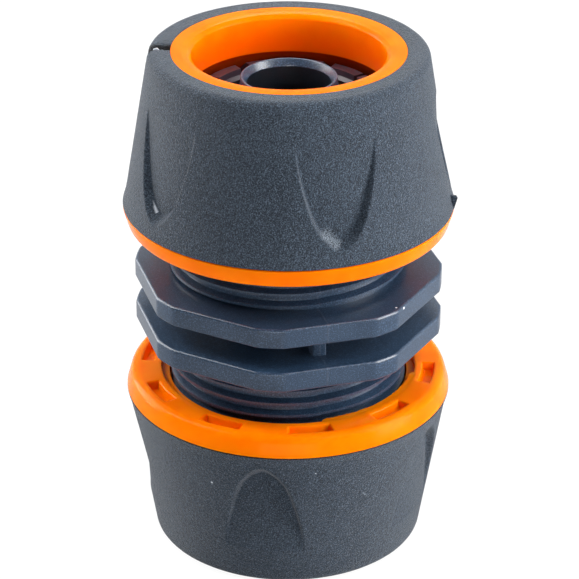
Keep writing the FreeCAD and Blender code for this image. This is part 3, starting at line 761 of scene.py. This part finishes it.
def grip_sector(name):
    """A fifth of the sleeve, with one finger recess in its middle."""
    outside = softened([(RING_RADIUS, RING_HEIGHT + 0.02, 0.10), (20.62, 3.9, 1.5), (CONE_RADIUS, CONE_FOOT, 3.0),
                        (CONE_TOP_RADIUS, NUT_LENGTH, TOP_ROUND), (MOUTH_RADIUS + 0.02, NUT_LENGTH, 0.08),
                        (MOUTH_RADIUS + 0.02, 20.0, 0), (18.4, CONE_FOOT, 0), (19.2, 3.4, 0),
                        (19.9, RING_HEIGHT + 0.02, 0)])
    top = int(np.argmax([z > 15 for _, z in outside]))
    flank = [(z, r) for r, z in outside[:top + 1]]
    flank = flank[int(np.argmax([r for _, r in flank])):]
    heights = [2.85, 3.1, 3.4, 3.7, 4.0, 4.2, *np.arange(4.34, 18.0, 0.135), 18.5, 19.2, 20.0, 20.8]
    heights = [h for h in heights if flank[0][0] + 0.05 < h < flank[-1][0] - 0.1]
    inner = int(np.argmin([abs(r - MOUTH_RADIUS - 0.02) + abs(z - NUT_LENGTH + 0.08) for r, z in outside]))
    rows = [(r, z) for z, r in flank[:1]] + [(np.interp(h, *zip(*flank)), h) for h in heights]
    rows += subdivided(outside[top:inner + 1], 0.22, closed=False) + outside[inner + 1:]
    dense = np.arange(-17.6, 17.61, 0.37)
    spare = np.array([18.2, 19.5, 21.5, 24.5, 28.5, *np.arange(30.0, 36.01, 0.4)])
    angles = np.concatenate([-spare[::-1], dense, spare])
    radii, levels = np.array([r for r, _ in rows]), np.array([z for _, z in rows])
    across = np.radians(angles)[None, :] * radii[:, None]
    drop = scoop_drop(np.broadcast_to(levels[:, None], across.shape), across)
    on_flank = (levels > 4.2) & (levels < 18.2) & (radii > 17) & (np.arange(len(rows)) < len(heights) + 1)
    drop *= on_flank[:, None]
    places = np.stack([radii[:, None] - drop, np.broadcast_to(levels[:, None], across.shape),
                       np.broadcast_to(angles[None, :], across.shape)], -1)
    return sector(name, places)


TEAR_RADII = [14.7, 15.4, 15.6, 16.2, 16.5, 17.3, 17.5]
TEAR_ANGLES = [-89.0, -88.8, -89.9, -89.0, -89.3, -88.4, -88.6]


def tear(grip):
    """Sinks the rubber behind a crooked tear that runs across the rim of the upper sleeve."""
    for vertex in grip.data.vertices:
        x, y, z = vertex.co / MM
        reach = math.hypot(x, y)
        down = NUT_FACE + NUT_LENGTH - z
        if down > 2.0 or reach < MOUTH_RADIUS + 0.01 or down > 0.3 and reach < 16:
            continue
        line = np.interp(reach, TEAR_RADII, TEAR_ANGLES)
        around = (math.degrees(math.atan2(x, -y)) - VIEW_SWING - line + 180) % 360 - 180
        across = -math.radians(around) * reach
        depth = float(np.interp(across, [-0.15, 0.0, 1.15, 1.75, 2.3], [0.0, 1.0, 0.95, 0.15, 0.0]))
        depth *= 1 - max(0.0, down - 0.8) / 1.2
        outward = min(max((reach - 16.4) / 1.0, 0.0), 1.0) * 0.7
        vertex.co.z -= depth * MM * (1 - outward)
        vertex.co.x -= x / reach * depth * outward * MM
        vertex.co.y -= y / reach * depth * outward * MM


def sliver(name, outline, angle, half_width):
    """A thin upright piece. Its outline is in (radius, height), its thickness in degrees."""
    vertices = [round_place(angle + side * half_width, z, r) for side in (-1, 1) for r, z in outline]
    count = len(outline)
    faces = [(i, (i + 1) % count, (i + 1) % count + count, i + count) for i in range(count)]
    faces += [tuple(range(count - 1, -1, -1)), tuple(range(count, 2 * count))]
    return new_mesh_object(name, vertices, faces)


def make_grip(name, upside_down, turn, finish, node, body):
    """A soft sleeve. The upper one has the tear, its curl (given a painted highlight by its finish) and a fin of
    flash at one foot.
    """
    grip = copied_round(grip_sector(name + "_sector"), name, 5)
    turn_over(grip, upside_down, turn, -NUT_FACE if upside_down else NUT_FACE)
    if not upside_down:
        tear(grip)
        fin = sliver("flash_fin", [(20.3, 13.05), (21.0, 13.02), (21.4, 14.5), (21.2, 14.8), (20.2, 14.9)],
                     82.0 + VIEW_SWING, 0.45)
        curl = sliver("torn_curl", [(15.8, 32.2), (16.5, 32.2), (16.75, 33.1), (16.3, 33.25), (16.0, 33.0)],
                      -90.6 + VIEW_SWING, 0.45)
        grip = joined(name, [grip, fin, curl])
    dressed(grip, finish, 50.0)
    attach(grip, body)
    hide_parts(node)
    return grip


# Studio

SWING = Matrix.Rotation(math.radians(VIEW_SWING), 3, "Z")


def make_floor():
    """White to the camera, a matt floor to light, and a dimmer one in what mirrors its near side."""
    finish = bpy.data.materials.new("pale_floor")
    finish.use_nodes = True
    finish.node_tree.nodes.clear()
    plan = Plan(finish.node_tree)
    path = plan.add("ShaderNodeLightPath")
    mirrored = path["Is Glossy Ray"].most(path["Is Transmission Ray"])
    place = plan.add("ShaderNodeTexCoord")["Object"]
    away = SWING @ Vector((0, 1, 0))
    behind = plan.add("ShaderNodeVectorMath", {"operation": "DOT_PRODUCT"}, [place, away], "Value")
    matt = plan.add("ShaderNodeBsdfDiffuse", {}, {"Color": (0.7, 0.7, 0.7, 1)})
    glow = 1.06 - mirrored * behind.fade(-0.02, 0.12, 0.66, 0.0)
    lit = plan.add("ShaderNodeEmission", {}, {"Color": (1, 1, 1, 1), "Strength": glow})
    share = path["Is Camera Ray"] * 0.88 + mirrored * 0.9
    surface = plan.add("ShaderNodeMixShader", {}, [share, matt, lit])
    plan.add("ShaderNodeOutputMaterial", {}, {"Surface": surface})
    low, reach = cad_box[0][2] / MM, 3000.0
    corners = [(x * reach, y * reach, low) for x, y in ((-1, -1), (1, -1), (1, 1), (-1, 1))]
    floor = new_mesh_object("studio_floor", corners, [(0, 1, 2, 3)])
    floor.data.materials.append(finish)


def make_world():
    """White all round as a backdrop, but dim on the camera's side, where the room lies."""
    world = bpy.data.worlds.new("studio_air")
    world.use_nodes = True
    world.node_tree.nodes.clear()
    plan = Plan(world.node_tree)
    path = plan.add("ShaderNodeLightPath")
    way = plan.add("ShaderNodeTexCoord")["Generated"]
    towards = SWING @ Vector((0, -1, 0))
    facing = plan.add("ShaderNodeVectorMath", {"operation": "DOT_PRODUCT"}, [way, towards], "Value")
    mirrored = path["Is Glossy Ray"].most(path["Is Transmission Ray"])
    room = facing.fade(-0.7, 0.4, 0.55, 0.02)
    soft = facing.fade(-0.3, 0.8, 0.17, 0.05)
    strength = mirrored * room + (1.0 - mirrored) * soft
    strength = path["Is Camera Ray"].most(strength)
    air = plan.add("ShaderNodeBackground", {}, {"Color": (1, 1, 1, 1), "Strength": strength})
    plan.add("ShaderNodeOutputWorld", {}, {"Surface": air})
    bpy.context.scene.world = world


# Name, place in metres as the camera sees it, width, height and power
SOFTBOXES = (
    ("left_softbox", (-0.40, 0.21, 0.12), 0.3, 0.4, 2.2),
    ("right_softbox", (0.43, -0.10, 0.12), 0.25, 0.4, 3.3),
    ("high_left_softbox", (-0.28, 0.02, 0.38), 0.2, 0.2, 1.0),
    ("high_right_softbox", (0.34, -0.04, 0.34), 0.2, 0.25, 1.0),
    ("high_back_softbox", (0.0, 0.27, 0.40), 0.35, 0.25, 1.1),
    ("low_front_softbox", (0.0, -0.45, 0.03), 0.3, 0.12, 0.5),
    ("left_spark", (-0.38, 0.065, 0.316), 0.08, 0.12, 0.35),
    ("front_spark", (0.17, -0.19, 0.43), 0.08, 0.08, 0.3))


def set_lamp(name, lamp, place, target=(0, 0, 0)):
    """Puts a lamp at a place and aims it at a target. Both are given as the camera sees them, with -Y its side."""
    made = bpy.data.objects.new(name, lamp)
    made.location = SWING @ Vector(place)
    aim = SWING @ (Vector(target) - Vector(place))
    made.rotation_euler = aim.to_track_quat("-Z", "Y").to_euler()
    bpy.context.scene.collection.objects.link(made)


def make_lamps():
    """Soft boxes round the object, and a narrow beam from over the camera that fills the upper mouth."""
    for name, place, width, height, power in SOFTBOXES:
        lamp = bpy.data.lights.new(name, "AREA")
        lamp.shape = "RECTANGLE"
        lamp.size, lamp.size_y, lamp.energy = width, height, power
        set_lamp(name, lamp, place)
    beam = bpy.data.lights.new("mouth_beam", "SPOT")
    beam.energy, beam.spot_size, beam.spot_blend, beam.shadow_soft_size = 3.0, math.radians(3.0), 0.9, 0.008
    set_lamp("mouth_beam", beam, (0.0, -0.43, 0.194), (0.0, 0.012, 0.0335))


SENSOR_WIDTH = 36.0
FOCAL_PIXELS, PHOTO_PIXELS = 2714.85, 579


def make_camera():
    """The photograph's view: 26.6 degrees down, from 16 degrees left of -Y. Fitted to the photograph's circles."""
    pitch, roll = math.radians(26.61), math.radians(-0.191)
    up = Vector((0, math.sin(pitch), math.cos(pitch)))
    ahead = Vector((0, math.cos(pitch), -math.sin(pitch)))
    side = Vector((1, 0, 0))
    spot = side * 0.217 - up * 13.385 - ahead * 342.707 + Vector((0, 0, 15.006))
    right = side * math.cos(roll) - up * math.sin(roll)
    top = side * math.sin(roll) + up * math.cos(roll)
    turn = Matrix((SWING @ right, SWING @ top, SWING @ -ahead)).transposed().to_4x4()
    lens = bpy.data.cameras.new("camera")
    lens.sensor_width = SENSOR_WIDTH
    lens.lens = FOCAL_PIXELS / PHOTO_PIXELS * SENSOR_WIDTH
    lens.shift_x, lens.shift_y = -0.5 / PHOTO_PIXELS, 0.5 / PHOTO_PIXELS
    lens.clip_start, lens.clip_end = 0.01, 20
    camera = bpy.data.objects.new("camera", lens)
    camera.matrix_world = Matrix.Translation(SWING @ spot * MM) @ turn
    bpy.context.scene.collection.objects.link(camera)
    bpy.context.scene.camera = camera


def on_sleeve(angle, height, sunk=0.0, side=1):
    """A spot on a sleeve's cone, or sunk under it. The angle is from the camera's side, the height along the nut."""
    return round_place(angle + VIEW_SWING, side * (NUT_FACE + height), cone_radius(height) - sunk)


def upper_marks():
    """Painted shadow on the tear's far wall, a painted highlight on its curl, painted light on the apex wall of one
    finger recess and a painted highlight streak in another.
    """
    # The wall line is painted shadow on the tear's far wall. The curl line carries a painted highlight.
    wall, curl = [[round_place(angle + VIEW_SWING, z, r) for angle, z, r in ends] for ends in (
        ((-93.0, 32.7, 14.8), (-94.0, 32.4, 17.3)), ((-90.6, 33.0, 16.0), (-90.6, 33.0, 16.7)))]
    # Painted highlight: a white streak on the floor of the left finger recess, where light glints.
    streak = [on_sleeve(-60.8, 6.8, 1.0), on_sleeve(-58.7, 6.0, 1.1), on_sleeve(-56.5, 5.5, 1.1)]
    # The first line is painted light, speckled like the grain, on the apex wall of the front finger recess.
    return {"scratches_and_painted_light": [(on_sleeve(13.9, 6.7, 0.6), on_sleeve(17.9, 5.1, 0.6), 1.05)],
            "painted_shadows": [(*wall, 1.25)],
            "painted_highlights": [(*curl, 0.55), (streak[0], streak[2], 0.26), (streak[1], streak[2], 0.42)]}


def lower_marks():
    """Four specks of dust and one long scratch."""
    return {"spots": [(on_sleeve(angle, height, -0.1, -1), radius) for angle, height, radius in (
                (-28.7, 8.1, 0.22), (-10.1, 6.9, 0.16), (9.9, 5.2, 0.16), (51.0, 14.3, 0.26))],
            "scratches_and_painted_light": [(on_sleeve(29.0, 9.7, 0.0, -1), on_sleeve(49.7, 16.3, 0.0, -1), 0.16)]}


# The whole

def build():
    """All pieces in place. The claw rings keep the solids' own shapes."""
    specks = [(round_place(29.0, FLANGE_FACE, 18.89), 0.17), (round_place(32.2, 3.98, 19.2), 0.2)]
    make_centre_body(make_body_finish(specks))
    claw_finish = make_claw_finish()
    for name in ("upper_claw_ring", "lower_claw_ring"):
        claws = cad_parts[name]
        claws.data.materials.clear()
        claws.data.materials.append(claw_finish)
    nut_finish = make_nut_finish()
    make_nut("upper_nut_shell", False, UPPER_TURN, 1.365, 0.0, nut_finish, "upper_nut")
    make_nut("lower_nut_shell", True, LOWER_TURN, 1.805, math.pi, nut_finish, "lower_nut")
    upper_finish = make_grip_finish("soft_grip_upper", **upper_marks())
    lower_finish = make_grip_finish("soft_grip_lower", **lower_marks())
    make_grip("upper_soft_grip", False, UPPER_TURN, upper_finish, "upper_grip_sleeve", "upper_nut")
    make_grip("lower_soft_grip", True, LOWER_TURN, lower_finish, "lower_grip_sleeve", "lower_nut")


build()
make_floor()
make_world()
make_lamps()
make_camera()
bpy.context.scene.view_settings.view_transform = "Standard"
